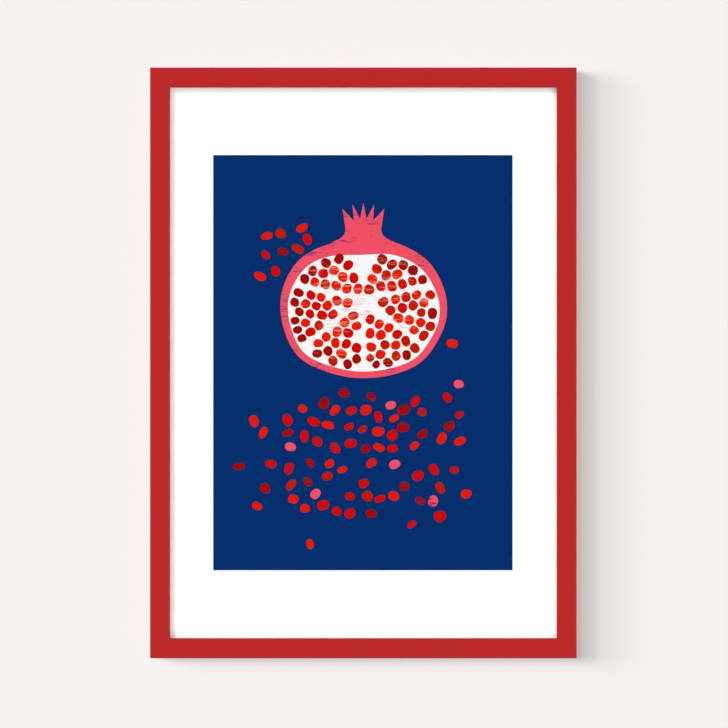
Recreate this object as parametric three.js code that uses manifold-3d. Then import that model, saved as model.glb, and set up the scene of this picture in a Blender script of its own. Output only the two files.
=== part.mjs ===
// A framed art print: an A2 paper print under picture glass, in a frame of four mitred wooden rails,
// held in from behind by a barrier board, a backing board and flexible steel tabs, and hung by two
// strap hangers whose D-rings swing. Millimetres. +X is to the right and +Z up as the picture is seen
// from the front, and +Y points to the wall. The origin lies midway between the bars of the two
// hanging rings, in the plane of the rails' back faces.
import * as THREE from "three";
import { mergeVertices } from "three/addons/utils/BufferGeometryUtils.js";
import Module from "manifold-3d";

const wasm = await Module();
wasm.setup();

// The sheets that the frame holds, from front to back.
const paperWidth = 420;
const paperHeight = 594;
const glassThickness = 2;
const paperThickness = 0.5; // heavy cotton paper
const barrierThickness = 1.4;
const backingThickness = 2.5;
const layerGap = 0.1; // air between one sheet and the next
const sheetClearance = 1; // between a sheet's edge and the rebate's wall

// The wooden rails. The lip covers the sheets' edges, and the rebate behind it takes them.
const railFace = 21;
const railDepth = 25;
const lipThickness = 5;
const lipOverlap = 5;
const easedEdge = 0.8; // radius of the sanded front and back arrises
const glueLine = 0.1; // across each mitre

// Flexible steel tabs, driven into the rebate's wall so that they press on the backing board.
const tabsPerShortRail = 3;
const tabsPerLongRail = 4;
const tabWidth = 6;
const tabThickness = 0.5;
const tabShown = 13; // out of the wood, over the backing board
const tabDriven = 9; // into the wood, point included
const tabPoint = 4;
const tabCorner = 1.5;

// V-nails, underpinned into the back of each mitre with one leg in each rail.
const nailsPerCorner = 2;
const nailLeg = 4;
const nailThickness = 0.6;
const nailHeight = 10;
const nailSink = 0.2; // below the wood's back face

const slotClearance = 0.3; // round each tab, nail and screw in its slot

// Strap hangers: a steel strip rolled into an eye that carries the ring's straight bar.
const hangerDrop = 130; // from the frame's top edge to the ring's axis
const strapWidth = 8;
const strapThickness = 1;
const strapEnd = 21; // from the ring's axis to the strap's rounded lower end
const ringWire = 2; // wire diameter
const ringClearance = 0.3; // between the wire and the eye
const ringInnerWidth = 10;
const ringSide = 3.4; // straight part of each side of the ring
const ringCorner = 1.6; // radius of the wire's own line where the bar turns into the sides

// Pan-head screws that hold the straps.
const screwDrop = 16.5; // from the ring's axis to the screw
const screwShank = 3;
const screwLength = 14;
const screwTaper = 3;
const headDiameter = 5.6;
const headHeight = 1.9;
const headRim = 0.8; // height of the head's straight edge
const headSeat = 0.05; // between the head and the strap

// Round bumpers that keep the bottom rail off the wall.
const bumperDiameter = 10;
const bumperHeight = 2.5;
const bumperChamfer = 0.8;
const bumperInset = 30; // from the frame's side to the bumper's centre

const sightWidth = paperWidth - 2 * lipOverlap;
const sightHeight = paperHeight - 2 * lipOverlap;
const rebate = lipOverlap + sheetClearance;
const backFace = railFace - rebate;
const frameWidth = sightWidth + 2 * railFace;
const frameHeight = sightHeight + 2 * railFace;
const ringAxisHeight = frameHeight / 2 - hangerDrop; // above the frame's centre
const screwHeight = ringAxisHeight - screwDrop;
const eyeInner = ringWire / 2 + ringClearance;
const eyeOuter = eyeInner + strapThickness;

// Where each sheet's front face lies, counted from the rails' back face at y = 0.
const glassFront = lipThickness - railDepth + layerGap;
const paperFront = glassFront + glassThickness + layerGap;
const barrierFront = paperFront + paperThickness + layerGap;
const backingFront = barrierFront + barrierThickness + layerGap;
const tabFront = backingFront + backingThickness + layerGap;

const finish = (color, roughness, metalness = 0) =>
  new THREE.MeshStandardMaterial({ color, roughness, metalness });
const redPaint = finish(0xbc2828, 0.4);
const pictureGlass = finish(0xf4fbf8, 0.05);
pictureGlass.transparent = true;
pictureGlass.opacity = 0.15;
const artPaper = finish(0xfdfdfb, 0.85);
const whiteBoard = finish(0xf1efe9, 0.9);
const fibreboard = finish(0x8a6342, 0.8);
const springSteel = finish(0xa7a9ac, 0.35, 1);
const zincPlate = finish(0xc9cbcd, 0.3, 1);
const softPlastic = finish(0xd9dcda, 0.5);

// A closed geometry as a manifold-3d solid.
function solidOf(geometry) {
  const plain = geometry.clone();
  plain.deleteAttribute("normal");
  plain.deleteAttribute("uv");
  const merged = mergeVertices(plain, 1e-4);
  return new wasm.Manifold(
    new wasm.Mesh({
      numProp: 3,
      vertProperties: merged.attributes.position.array,
      triVerts: new Uint32Array(merged.index.array),
    }),
  );
}

// A manifold-3d solid as a three.js geometry with flat shading.
function geometryOf(solid) {
  const mesh = solid.getMesh();
  const geometry = new THREE.BufferGeometry();
  geometry.setAttribute("position", new THREE.BufferAttribute(mesh.vertProperties, 3));
  geometry.setIndex(new THREE.BufferAttribute(mesh.triVerts, 1));
  const flat = geometry.toNonIndexed();
  flat.computeVertexNormals();
  return flat;
}

function named(name, geometry, material) {
  const mesh = new THREE.Mesh(geometry, material);
  mesh.name = name;
  return mesh;
}

// An outline drawn in (x, z), extruded along +Y from y = front by the given thickness.
function slabFrom(outline, front, thickness) {
  const slab = new THREE.ExtrudeGeometry(outline, {
    depth: thickness,
    bevelEnabled: false,
    curveSegments: 6,
  });
  slab.rotateX(Math.PI / 2);
  return slab.translate(0, front + thickness, 0);
}

// The rails' section in (outward, depth): lip in front, rebate behind it, eased arrises.
function railSection() {
  const front = -railDepth;
  const ease = easedEdge;
  const section = new THREE.Shape();
  section.moveTo(ease, front);
  section.lineTo(railFace - ease, front);
  section.absarc(railFace - ease, front + ease, ease, -Math.PI / 2, 0, false);
  section.lineTo(railFace, -ease);
  section.absarc(railFace - ease, -ease, ease, 0, Math.PI / 2, false);
  section.lineTo(rebate, 0);
  section.lineTo(rebate, front + lipThickness);
  section.lineTo(0, front + lipThickness);
  section.lineTo(0, front + ease);
  section.absarc(ease, front + ease, ease, Math.PI, (3 * Math.PI) / 2, false);
  return section;
}

// A rail along X with its sight edge at z = 0 and its outer edge at z = railFace, both ends mitred.
function mitredRail(sightLength) {
  const rail = new THREE.ExtrudeGeometry(railSection(), {
    depth: 1,
    bevelEnabled: false,
    curveSegments: 4,
  });
  const place = rail.attributes.position;
  const trim = (glueLine / 2) * Math.SQRT2;
  for (let i = 0; i < place.count; i++) {
    const outward = place.getX(i);
    const reach = sightLength / 2 + outward - trim;
    const end = place.getZ(i) > 0.5 ? -1 : 1;
    place.setXYZ(i, end * reach, place.getY(i), outward);
  }
  return rail;
}

// A tab's outline in a rail's own (x, z): blunt over the board, pointed in the wood.
function tabOutline(spare = 0) {
  const half = tabWidth / 2 + spare;
  const tip = rebate + tabDriven + spare;
  const tail = rebate - tabShown - spare;
  const outline = new THREE.Shape();
  outline.moveTo(-half, tip - tabPoint);
  outline.lineTo(-half, tail + tabCorner);
  outline.absarc(-half + tabCorner, tail + tabCorner, tabCorner, Math.PI, 1.5 * Math.PI, false);
  outline.lineTo(half - tabCorner, tail);
  outline.absarc(half - tabCorner, tail + tabCorner, tabCorner, 1.5 * Math.PI, 2 * Math.PI, false);
  outline.lineTo(half, tip - tabPoint);
  outline.lineTo(0, tip);
  return outline;
}

// A V-nail's outline in (x, z), with its bend at the origin and its legs along -x and -z.
function nailOutline(spare = 0) {
  const half = nailThickness / 2 + spare;
  const leg = nailLeg + spare;
  const outline = new THREE.Shape();
  outline.moveTo(half, half);
  outline.lineTo(-leg, half);
  outline.lineTo(-leg, -half);
  outline.lineTo(-half, -half);
  outline.lineTo(-half, -leg);
  outline.lineTo(half, -leg);
  return outline;
}

// How far each V-nail's bend lies from the two outer faces at its corner.
function nailInset(index) {
  return ((backFace - nailLeg) * (index + 1)) / (nailsPerCorner + 1);
}

function tabPlaces(sightLength, count) {
  return Array.from({ length: count }, (_, i) => ((i + 0.5) / count - 0.5) * sightLength);
}

// What is taken out of a rail: tab slots, V-nail slots at both ends and a screw's pilot hole.
function railCuts(sightLength, tabs, screwAt) {
  const cuts = tabPlaces(sightLength, tabs).map((x) =>
    slabFrom(
      tabOutline(slotClearance),
      tabFront - slotClearance,
      tabThickness + 2 * slotClearance,
    ).translate(x, 0, 0),
  );
  for (let i = 0; i < nailsPerCorner; i++) {
    const slot = slabFrom(
      nailOutline(slotClearance),
      -nailSink - nailHeight - slotClearance,
      nailHeight + nailSink + 2 * slotClearance,
    );
    const outerCorner = sightLength / 2 + railFace;
    slot.translate(outerCorner - nailInset(i), 0, railFace - nailInset(i));
    cuts.push(slot, slot.clone().rotateZ(Math.PI).translate(0, -nailHeight, 0));
  }
  if (screwAt !== null) {
    const reach = screwLength - strapThickness + slotClearance;
    const pilot = new THREE.CylinderGeometry(
      screwShank / 2 + slotClearance,
      screwShank / 2 + slotClearance,
      reach + 1,
      24,
    );
    cuts.push(pilot.translate(screwAt, (1 - reach) / 2, rebate + backFace / 2));
  }
  return cuts;
}

// One rail with its tabs, in a group of its own that turns it to its side of the frame.
function railGroup(side, sightLength, tabs, screwAt) {
  const group = new THREE.Group();
  const cut = railCuts(sightLength, tabs, screwAt).reduce(
    (solid, tool) => solid.subtract(solidOf(tool)),
    solidOf(mitredRail(sightLength)),
  );
  group.add(named(`rail_${side}`, geometryOf(cut), redPaint));
  tabPlaces(sightLength, tabs).forEach((x, i) => {
    const tab = named(
      `tab_${side}_${i + 1}`,
      slabFrom(tabOutline(), tabFront, tabThickness),
      springSteel,
    );
    tab.position.x = x;
    group.add(tab);
  });
  return group;
}

// A sheet in the rebate, centred on the frame.
function sheet(name, front, thickness, material) {
  const geometry = new THREE.BoxGeometry(paperWidth, thickness, paperHeight);
  const mesh = named(name, geometry, material);
  mesh.position.y = front + thickness / 2;
  return mesh;
}

// The V-nails of one corner. toRight and toTop are 1 or -1, and quarterTurns is the corner's place
// counted from the top right one.
function cornerNails(corner, toRight, toTop, quarterTurns) {
  const group = new THREE.Group();
  for (let i = 0; i < nailsPerCorner; i++) {
    const nail = slabFrom(nailOutline(), -nailSink - nailHeight, nailHeight);
    const depth = i === 0 ? "outer" : "inner";
    const mesh = named(`corner_nail_${corner}_${depth}`, nail, springSteel);
    mesh.position.x = toRight * (frameWidth / 2 - nailInset(i));
    mesh.position.z = toTop * (frameHeight / 2 - nailInset(i));
    mesh.rotation.y = (quarterTurns * Math.PI) / 2;
    group.add(mesh);
  }
  return group;
}

// The strap in its own frame: the ring's axis along X at the origin, the wood at y = -eyeOuter.
function hangerStrap(name) {
  const joinAngle = Math.PI + Math.asin((eyeOuter - strapThickness) / eyeOuter);
  const section = new THREE.Shape();
  section.moveTo(-strapEnd, -eyeOuter);
  section.lineTo(0, -eyeOuter);
  section.absarc(0, 0, eyeOuter, -Math.PI / 2, joinAngle, false);
  section.lineTo(-strapEnd, strapThickness - eyeOuter);
  const eye = new THREE.Path();
  eye.absarc(0, 0, eyeInner, 0, 2 * Math.PI, true);
  section.holes.push(eye);
  const strip = new THREE.ExtrudeGeometry(section, {
    depth: strapWidth,
    bevelEnabled: false,
    curveSegments: 12,
  });
  // The section is drawn in (z, y), so that its extrusion becomes the strap's width along X.
  strip.rotateY(-Math.PI / 2).translate(strapWidth / 2, 0, 0);
  const plan = new THREE.Shape();
  plan.moveTo(strapWidth / 2, eyeOuter + 1);
  plan.lineTo(-strapWidth / 2, eyeOuter + 1);
  plan.lineTo(-strapWidth / 2, strapWidth / 2 - strapEnd);
  plan.absarc(0, strapWidth / 2 - strapEnd, strapWidth / 2, Math.PI, 2 * Math.PI, false);
  const hole = new THREE.Path();
  hole.absarc(0, -screwDrop, screwShank / 2 + slotClearance, 0, 2 * Math.PI, true);
  plan.holes.push(hole);
  const outline = slabFrom(plan, -eyeOuter - 1, 2 * eyeOuter + 2);
  return named(name, geometryOf(solidOf(strip).intersect(solidOf(outline))), zincPlate);
}

// The line that the ring's wire follows, a closed D in (x, z) with its bar through the origin.
class RingLine extends THREE.Curve {
  constructor() {
    super();
    const half = ringInnerWidth / 2 + ringWire / 2;
    const sideEnd = -ringCorner - ringSide;
    this.line = new THREE.Path();
    this.line.moveTo(0, 0);
    this.line.lineTo(half - ringCorner, 0);
    this.line.absarc(half - ringCorner, -ringCorner, ringCorner, Math.PI / 2, 0, true);
    this.line.lineTo(half, sideEnd);
    this.line.absarc(0, sideEnd, half, 0, -Math.PI, true);
    this.line.lineTo(-half, -ringCorner);
    this.line.absarc(ringCorner - half, -ringCorner, ringCorner, Math.PI, Math.PI / 2, true);
    this.line.lineTo(0, 0);
  }
  getPoint(t, target = new THREE.Vector3()) {
    const at = this.line.getPoint(t);
    return target.set(at.x, 0, at.y);
  }
}

function hangerRing(name) {
  return named(name, new THREE.TubeGeometry(new RingLine(), 72, ringWire / 2, 12, true), zincPlate);
}

// A pan-head screw along Y, with the underside of its head at y = 0.
function hangerScrew(name) {
  const head = headDiameter / 2;
  const shank = screwShank / 2;
  const profile = [
    new THREE.Vector2(0, -screwLength),
    new THREE.Vector2(shank, screwTaper - screwLength),
    new THREE.Vector2(shank, 0),
    new THREE.Vector2(head, 0),
    new THREE.Vector2(head, headRim),
  ];
  const domeSteps = 4;
  for (let i = 1; i <= domeSteps; i++) {
    const turn = (i / domeSteps) * (Math.PI / 2);
    const rise = (headHeight - headRim) * Math.sin(turn);
    profile.push(new THREE.Vector2(i < domeSteps ? head * Math.cos(turn) : 0, headRim + rise));
  }
  return named(name, new THREE.LatheGeometry(profile, 24), zincPlate);
}

// One hanger, with its ring's axis at the group's origin. The ring hangs down over the strap.
function hanger(side) {
  const group = new THREE.Group();
  const screw = hangerScrew(`hanger_screw_${side}`);
  screw.position.set(0, strapThickness - eyeOuter + headSeat, -screwDrop);
  group.add(hangerStrap(`hanger_strap_${side}`), hangerRing(`hanger_ring_${side}`), screw);
  return group;
}

// A bumper along Y with its stuck face at y = 0 and a chamfer round the face that meets the wall.
function bumper(name) {
  const radius = bumperDiameter / 2;
  const profile = [
    new THREE.Vector2(0, 0),
    new THREE.Vector2(radius, 0),
    new THREE.Vector2(radius, bumperHeight - bumperChamfer),
    new THREE.Vector2(radius - bumperChamfer, bumperHeight),
    new THREE.Vector2(0, bumperHeight),
  ];
  return named(name, new THREE.LatheGeometry(profile, 32), softPlastic);
}

// The frame is laid out about its own centre, which lies below the hanging rings.
const framedPrint = new THREE.Group();
const aboutCentre = new THREE.Group();
aboutCentre.position.z = -ringAxisHeight;
framedPrint.add(aboutCentre);

const top = railGroup("top", sightWidth, tabsPerShortRail, null);
top.position.z = sightHeight / 2;
const bottom = railGroup("bottom", sightWidth, tabsPerShortRail, null);
bottom.position.z = -sightHeight / 2;
bottom.rotation.y = Math.PI;
const right = railGroup("right", sightHeight, tabsPerLongRail, -screwHeight);
right.position.x = sightWidth / 2;
right.rotation.y = Math.PI / 2;
const left = railGroup("left", sightHeight, tabsPerLongRail, screwHeight);
left.position.x = -sightWidth / 2;
left.rotation.y = -Math.PI / 2;
aboutCentre.add(top, bottom, right, left);

aboutCentre.add(
  sheet("glass", glassFront, glassThickness, pictureGlass),
  sheet("art_print", paperFront, paperThickness, artPaper),
  sheet("barrier_board", barrierFront, barrierThickness, whiteBoard),
  sheet("backing_board", backingFront, backingThickness, fibreboard),
);

aboutCentre.add(
  cornerNails("top_right", 1, 1, 0),
  cornerNails("bottom_right", 1, -1, 1),
  cornerNails("bottom_left", -1, -1, 2),
  cornerNails("top_left", -1, 1, 3),
);

for (const [side, toRight] of [["left", -1], ["right", 1]]) {
  const strapHanger = hanger(side);
  strapHanger.position.set(toRight * (frameWidth - backFace) / 2, eyeOuter, ringAxisHeight);
  const pad = bumper(`bumper_${side}`);
  pad.position.set(toRight * (frameWidth / 2 - bumperInset), 0, (backFace - frameHeight) / 2);
  aboutCentre.add(strapHanger, pad);
}

export default framedPrint;
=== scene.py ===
import math
import random

import bmesh
import bpy
from mathutils import Matrix, Vector


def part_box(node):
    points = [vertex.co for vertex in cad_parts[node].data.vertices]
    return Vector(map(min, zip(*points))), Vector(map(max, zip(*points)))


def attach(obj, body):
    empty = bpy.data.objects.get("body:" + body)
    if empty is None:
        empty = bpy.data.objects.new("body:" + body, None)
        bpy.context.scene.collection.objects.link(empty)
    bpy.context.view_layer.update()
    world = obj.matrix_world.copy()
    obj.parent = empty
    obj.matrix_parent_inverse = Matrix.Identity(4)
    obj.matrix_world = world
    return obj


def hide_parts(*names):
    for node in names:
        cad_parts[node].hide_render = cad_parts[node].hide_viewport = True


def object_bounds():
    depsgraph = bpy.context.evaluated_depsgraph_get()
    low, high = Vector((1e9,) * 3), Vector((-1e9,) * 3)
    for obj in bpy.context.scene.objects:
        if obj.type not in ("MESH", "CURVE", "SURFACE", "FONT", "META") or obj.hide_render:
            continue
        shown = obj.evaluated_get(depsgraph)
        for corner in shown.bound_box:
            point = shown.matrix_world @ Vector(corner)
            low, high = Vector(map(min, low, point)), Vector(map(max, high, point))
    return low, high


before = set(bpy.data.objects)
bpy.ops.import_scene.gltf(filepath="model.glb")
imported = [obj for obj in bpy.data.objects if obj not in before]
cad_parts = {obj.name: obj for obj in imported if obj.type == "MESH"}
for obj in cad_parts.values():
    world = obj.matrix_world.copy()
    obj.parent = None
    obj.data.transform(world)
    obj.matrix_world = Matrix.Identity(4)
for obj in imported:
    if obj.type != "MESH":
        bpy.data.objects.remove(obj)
cad_low, cad_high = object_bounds()

# ---------------------------------------------------------------------------------------------
# The rails. Four lengths of straight-grained obeche moulding, mitred, glued and then sprayed with
# satin red lacquer, which also fills the front of the joints. The lacquer covers the front, the lip
# and the outer sides. The back and the rebate are bare wood with a little overspray at the rim.
# ---------------------------------------------------------------------------------------------
MM = 0.001
RAIL_GRAIN = {"top": "X", "bottom": "X", "left": "Z", "right": "Z"}
EASED_EDGE = 0.8 * MM
GLUE_LINE = 0.1 * MM
WELD = 0.001 * MM
CURVE_ANGLE = math.radians(35)
FLAT_ANGLE = math.radians(0.5)
LIP_MARGIN = 0.3 * MM
LACQUER_DEEP = "#9a0d0d"
LACQUER_LIGHT = "#a00f0f"

half_width = (cad_high.x - cad_low.x) / 2
half_height = (cad_high.z - cad_low.z) / 2
middle_z = (cad_high.z + cad_low.z) / 2
lip_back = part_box("glass")[0].y


def hex_colour(code):
    """An sRGB hex colour as the linear RGBA that a shader takes."""
    channels = [int(code[i:i + 2], 16) / 255 for i in (1, 3, 5)]
    linear = [c / 12.92 if c <= 0.04045 else ((c + 0.055) / 1.055) ** 2.4 for c in channels]
    return (*linear, 1)


def per_metre(*sizes_mm):
    """The scale that repeats a pattern once in each of these sizes, given in millimetres."""
    return tuple(1 / (size * MM) for size in sizes_mm)


def add(tree, kind, inputs=None, **settings):
    """Adds a shader node with its settings. An input takes a value, a socket to link, or a node,
    whose first output in use is linked."""
    node = tree.nodes.new("ShaderNode" + kind)
    for name, value in settings.items():
        setattr(node, name, value)
    for name, value in (inputs or {}).items():
        if isinstance(name, int):
            socket = node.inputs[name]
        else:
            socket = next(s for s in node.inputs if s.enabled and s.name == name)
        if isinstance(value, bpy.types.Node):
            value = next(s for s in value.outputs if s.enabled)
        if isinstance(value, bpy.types.NodeSocket):
            tree.links.new(value, socket)
        else:
            socket.default_value = value
    return node


def new_material(name):
    """A material with an empty node tree, and the tree's Object coordinates."""
    material = bpy.data.materials.new(name)
    material.use_nodes = True
    material.node_tree.nodes.clear()
    place = add(material.node_tree, "TexCoord").outputs["Object"]
    return material, material.node_tree, place


def satin_red_lacquer(grain_axis):
    """Sprayed satin lacquer over fine wood: even and softly glossy. The grain below it shows as
    faint long lines, and the spray leaves a fine orange peel in the gloss."""
    material, tree, place = new_material("satin_red_lacquer_" + grain_axis.lower())
    stretch = per_metre(70, 0.9, 0.9) if grain_axis == "X" else per_metre(0.9, 0.9, 70)
    along = add(tree, "Mapping", {"Vector": place, "Scale": stretch})
    grain = add(tree, "TexNoise", {"Vector": along, "Scale": 1.0, "Detail": 4.0})
    cloud = add(tree, "TexNoise", {"Vector": place, "Scale": per_metre(45)[0], "Detail": 2.0})
    peel = add(tree, "TexNoise", {"Vector": place, "Scale": per_metre(1.1)[0], "Detail": 2.0})
    tone = add(tree, "Mix", {
        "Factor": grain, "A": hex_colour(LACQUER_DEEP), "B": hex_colour(LACQUER_LIGHT)},
        data_type="RGBA")
    tone = add(tree, "Mix", {
        "Factor": cloud, "A": tone, "B": hex_colour(LACQUER_LIGHT)}, data_type="RGBA")
    gloss = add(tree, "MapRange", {
        "Value": peel, "From Min": 0.3, "From Max": 0.7, "To Min": 0.38, "To Max": 0.48})
    lines = add(tree, "Bump", {"Height": grain, "Distance": 0.02 * MM})
    skin = add(tree, "Bump", {"Height": peel, "Distance": 0.01 * MM, "Normal": lines})
    shader = add(tree, "BsdfPrincipled", {
        "Base Color": tone, "Roughness": gloss, "IOR": 1.48, "Specular IOR Level": 0.25,
        "Normal": skin})
    add(tree, "OutputMaterial", {"Surface": shader})
    return material


def bare_obeche(grain_axis):
    """Planed obeche: pale straw wood with straight grain and short open pores. A mist of red
    overspray fades in over the last millimetres before the outer edge."""
    material, tree, place = new_material("bare_obeche_" + grain_axis.lower())
    grain_size = (110, 1.8, 1.8) if grain_axis == "X" else (1.8, 1.8, 110)
    pore_size = (5, 0.4, 0.4) if grain_axis == "X" else (0.4, 0.4, 5)
    grain_along = add(tree, "Mapping", {"Vector": place, "Scale": per_metre(*grain_size)})
    pores_along = add(tree, "Mapping", {"Vector": place, "Scale": per_metre(*pore_size)})
    grain = add(tree, "TexNoise", {
        "Vector": grain_along, "Scale": 1.0, "Detail": 5.0, "Roughness": 0.62, "Distortion": 0.4})
    pores = add(tree, "TexNoise", {"Vector": pores_along, "Scale": 1.0, "Detail": 1.0})
    band = add(tree, "MapRange", {"Value": grain, "From Min": 0.32, "From Max": 0.68})
    wood = add(tree, "Mix", {
        "Factor": band, "A": hex_colour("#b8935f"), "B": hex_colour("#dcc194")}, data_type="RGBA")
    open_pore = add(tree, "MapRange", {
        "Value": pores, "From Min": 0.60, "From Max": 0.68, "To Max": 0.7})
    wood = add(tree, "Mix", {
        "Factor": open_pore, "A": wood, "B": hex_colour("#8c6a40")}, data_type="RGBA")
    axes = add(tree, "SeparateXYZ", {0: place})
    if grain_axis == "X":
        across = add(tree, "Math", {0: axes.outputs["Z"], 1: middle_z}, operation="SUBTRACT")
        rim = half_height
    else:
        across = axes.outputs["X"]
        rim = half_width
    outward = add(tree, "Math", {0: across}, operation="ABSOLUTE")
    mist = add(tree, "TexNoise", {"Vector": place, "Scale": per_metre(5)[0], "Detail": 6.0})
    ragged = add(tree, "Math", {0: mist, 1: 5 * MM, 2: outward}, operation="MULTIPLY_ADD")
    sprayed = add(tree, "MapRange", {
        "Value": ragged, "From Min": rim - 0.5 * MM, "From Max": rim + 2.0 * MM, "To Max": 0.9})
    wood = add(tree, "Mix", {
        "Factor": sprayed, "A": wood, "B": hex_colour(LACQUER_DEEP)}, data_type="RGBA")
    relief = add(tree, "Bump", {"Height": pores, "Distance": 0.04 * MM})
    shader = add(tree, "BsdfPrincipled", {
        "Base Color": wood, "Roughness": 0.7, "Specular IOR Level": 0.3, "Normal": relief})
    add(tree, "OutputMaterial", {"Surface": shader})
    return material


def welded_copy(node):
    """A bmesh of a CAD node's solid, its loose triangles welded into whole flat faces."""
    bm = bmesh.new()
    bm.from_mesh(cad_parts[node].data)
    bmesh.ops.remove_doubles(bm, verts=bm.verts, dist=WELD)
    bmesh.ops.dissolve_limit(bm, angle_limit=FLAT_ANGLE, verts=bm.verts, edges=bm.edges)
    bmesh.ops.recalc_face_normals(bm, faces=bm.faces)
    return bm


def ease_edges(bm, width, least_angle=50, segments=2):
    """Rounds every edge that turns by more than least_angle degrees."""
    sharp = [edge for edge in bm.edges if len(edge.link_faces) == 2
             and edge.calc_face_angle() > math.radians(least_angle)]
    bmesh.ops.bevel(bm, geom=sharp, offset=width, offset_type="OFFSET", segments=segments,
                    profile=0.5, affect="EDGES", clamp_overlap=True, material=-1)


def finish_piece(bm, name, materials, slot, body="frame", stands_for=()):
    """Makes a bmesh that is in its place into a smooth-shaded piece that rides on a body."""
    mesh = bpy.data.meshes.new(name)
    bm.to_mesh(mesh)
    bm.free()
    for material in materials:
        mesh.materials.append(material)
    mesh.shade_smooth()
    mesh.set_sharp_from_angle(angle=CURVE_ANGLE)
    piece = bpy.data.objects.new(name, mesh)
    bpy.context.scene.collection.objects.link(piece)
    weighted = piece.modifiers.new("flat faces stay flat", "WEIGHTED_NORMAL")
    weighted.weight = 100
    weighted.keep_sharp = True
    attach(piece, body)
    if stands_for:
        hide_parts(*stands_for)


def close_mitres(bm, grain_axis):
    """Moves both mitred ends out by half the glue line, so that the lacquer runs on unbroken."""
    for vert in bm.verts:
        from_side = half_width - abs(vert.co.x)
        from_end = half_height - abs(vert.co.z - middle_z)
        if abs(from_side - from_end) > 2 * GLUE_LINE:
            continue
        if grain_axis == "X":
            vert.co.x = math.copysign(half_width - from_end, vert.co.x)
        else:
            vert.co.z = middle_z + math.copysign(half_height - from_side, vert.co.z - middle_z)


def is_lacquered(face, grain_axis):
    """True on the front, the lip's edge and the outer side, but not on a mitre or the back."""
    normal = face.normal
    centre = face.calc_center_median()
    is_mitre = abs(abs(normal.x) - abs(normal.z)) < 0.05 and abs(normal.y) < 0.3
    if is_mitre:
        return False
    if centre.y < lip_back - LIP_MARGIN:
        return normal.y < 0.5
    from_side = half_width - abs(centre.x)
    from_end = half_height - abs(centre.z - middle_z)
    outward = from_end if grain_axis == "X" else from_side
    return outward < EASED_EDGE and normal.y < 0.75


lacquers = {axis: satin_red_lacquer(axis) for axis in "XZ"}
woods = {axis: bare_obeche(axis) for axis in "XZ"}
for side, grain_axis in RAIL_GRAIN.items():
    rail = welded_copy("rail_" + side)
    close_mitres(rail, grain_axis)
    for face in rail.faces:
        face.material_index = 0 if is_lacquered(face, grain_axis) else 1
    finish_piece(rail, "lacquered_rail_" + side, [lacquers[grain_axis], woods[grain_axis]],
                 "frame_wood", stands_for=["rail_" + side])

# ---------------------------------------------------------------------------------------------
# The V-nails. Two in each mitre, folded from bright cold-rolled steel strip and pressed into the
# joint from the back until they sit just below the wood.
# ---------------------------------------------------------------------------------------------
NAIL_ARRIS = 0.08 * MM


def rolled_steel():
    """Bright cold-rolled steel: even grey with fine straight rolling lines in its gloss and a few
    duller patches of dried oil."""
    material, tree, place = new_material("rolled_steel")
    along = add(tree, "Mapping", {"Vector": place, "Scale": per_metre(0.3, 0.3, 9)})
    lines = add(tree, "TexNoise", {"Vector": along, "Scale": 1.0, "Detail": 3.0})
    oil = add(tree, "TexNoise", {"Vector": place, "Scale": per_metre(4)[0], "Detail": 3.0})
    metal = add(tree, "Mix", {
        "Factor": oil, "A": hex_colour("#8f9194"), "B": hex_colour("#bcbec0")}, data_type="RGBA")
    rough = add(tree, "MapRange", {
        "Value": lines, "From Min": 0.3, "From Max": 0.7, "To Min": 0.26, "To Max": 0.44})
    relief = add(tree, "Bump", {"Height": lines, "Distance": 0.01 * MM})
    shader = add(tree, "BsdfPrincipled", {
        "Base Color": metal, "Metallic": 1.0, "Roughness": rough, "Normal": relief})
    add(tree, "OutputMaterial", {"Surface": shader})
    return material


steel = rolled_steel()
for node in sorted(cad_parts):
    if node.startswith("corner_nail_"):
        nail = welded_copy(node)
        ease_edges(nail, NAIL_ARRIS)
        finish_piece(nail, "v_nail_" + node[len("corner_nail_"):], [steel], "spring_steel",
                     stands_for=[node])

# ---------------------------------------------------------------------------------------------
# The glass. A sheet of 2 mm float glass with its cut edges seamed on a stone. It lies behind the
# lip, and it is clear but for a thin mirror on its faces.
# ---------------------------------------------------------------------------------------------
GLASS_SEAM = 0.25 * MM
GLASS_CLEAR = "#fefefe"


def picture_glass():
    """Clear float glass. So thin a sheet lets light straight through with hardly any tint, and
    mirrors more the flatter it is looked at. A ray inside the sheet meets no mirror, because it
    would be thrown back as if the light had never been bent on its way in."""
    material, tree, place = new_material("picture_glass")
    clear = add(tree, "BsdfTransparent", {"Color": hex_colour(GLASS_CLEAR)})
    mirror = add(tree, "BsdfGlossy", {"Color": (1, 1, 1, 1), "Roughness": 0.02})
    fresnel = add(tree, "Fresnel", {"IOR": 1.52})
    inside = add(tree, "NewGeometry").outputs["Backfacing"]
    outside = add(tree, "Math", {0: 1.0, 1: inside}, operation="SUBTRACT")
    share = add(tree, "Math", {0: fresnel, 1: outside}, operation="MULTIPLY")
    both = add(tree, "MixShader", {0: share, 1: clear, 2: mirror})
    add(tree, "OutputMaterial", {"Surface": both})
    return material


pane = welded_copy("glass")
ease_edges(pane, GLASS_SEAM)
finish_piece(pane, "glass_pane", [picture_glass()], "picture_glass", stands_for=["glass"])

# ---------------------------------------------------------------------------------------------
# The print's paper. An A2 sheet of heavy cotton paper, made in a mould and left uncoated. The inks
# lie on its front in films drawn thicker than real ones, so that each stays clear of the next.
# ---------------------------------------------------------------------------------------------
INK_FILM = 0.04 * MM
INK_LEVELS = 5
PAPER_ARRIS = 0.05 * MM

paper_low, paper_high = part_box("art_print")
paper_front = paper_low.y + INK_LEVELS * INK_FILM
picture_middle = Vector((0, 0, (paper_low.z + paper_high.z) / 2))


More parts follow.
